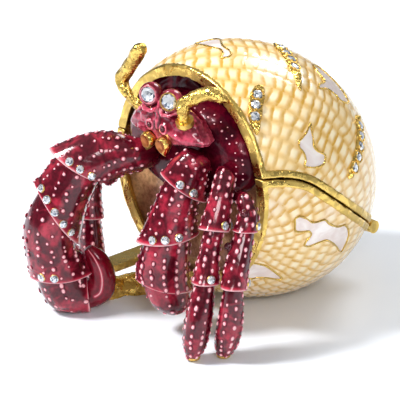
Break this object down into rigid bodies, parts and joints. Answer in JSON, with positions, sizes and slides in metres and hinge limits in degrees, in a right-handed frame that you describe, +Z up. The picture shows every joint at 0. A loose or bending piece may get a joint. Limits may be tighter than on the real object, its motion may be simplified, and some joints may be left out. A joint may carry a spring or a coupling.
{
  "type": "trinket box",
  "caption": "Hinged hermit crab trinket box: an egg-shaped shell whose upper half opens as a lid, with an enamelled crab, claws and legs fixed at its mouth.",
  "frame": {"origin": "on the table under the centre of the shell, in the plane of its flat foot", "axes": "+Z up, -Y the way the crab faces, +X towards the crab's left side, which the picture shows"},
  "size_m": [0.0485, 0.0646, 0.0527],
  "materials": {
    "shell_enamel": "glossy cream enamel over cast metal",
    "maroon_enamel": "glossy translucent maroon enamel over cast metal",
    "pink_enamel": "glossy pink and maroon enamel over cast metal",
    "gold_brown_enamel": "satin gold-brown wash over cast metal",
    "gold": "bright gold plate",
    "magnet": "nickel plate",
    "crystal": "cut, clear, foil-backed"
  },
  "bodies": {
    "base": {"base_shell": "shell_enamel", "base_rim": "gold", "base_mouth_wall": "gold_brown_enamel", "base_knuckles": "gold", "hinge_pin": "gold", "base_magnet": "magnet", "carapace": "maroon_enamel", "head": "pink_enamel", "left_eye": "pink_enamel", "right_eye": "pink_enamel", "eye_crystals": "crystal", "mouthparts": "gold", "left_antenna": "gold", "right_antenna": "gold", "antenna_collar": "gold", "right_claw_arm": "maroon_enamel", "right_claw_wrist": "maroon_enamel", "right_claw_hand": "maroon_enamel", "right_claw_palm": "maroon_enamel", "right_claw_finger": "maroon_enamel", "left_claw_arm": "maroon_enamel", "left_claw_wrist": "maroon_enamel", "left_claw_palm": "maroon_enamel", "left_claw_finger": "maroon_enamel", "left_front_thigh": "maroon_enamel", "left_front_shin": "maroon_enamel", "left_front_foot": "maroon_enamel", "left_back_thigh": "maroon_enamel", "left_back_shin": "maroon_enamel", "left_back_foot": "maroon_enamel", "right_thigh": "maroon_enamel", "right_shin": "maroon_enamel", "right_foot": "maroon_enamel", "claw_crystals": "crystal", "leg_crystals": "crystal", "brace_bar": "gold", "plinth": "gold"},
    "lid": {"lid_shell": "shell_enamel", "lid_rim": "gold", "lid_mouth_wall": "maroon_enamel", "lid_knuckle": "gold", "lid_magnet": "magnet", "lid_settings": "gold", "lid_crystals": "crystal"}
  },
  "joints": [
    {"name": "lid_hinge", "type": "hinge", "parent": "base", "child": "lid", "pos_m": [0, 0.0235, 0.00989], "axis": [-1, 0, 0], "range_deg": [0, 70]}
  ]
}
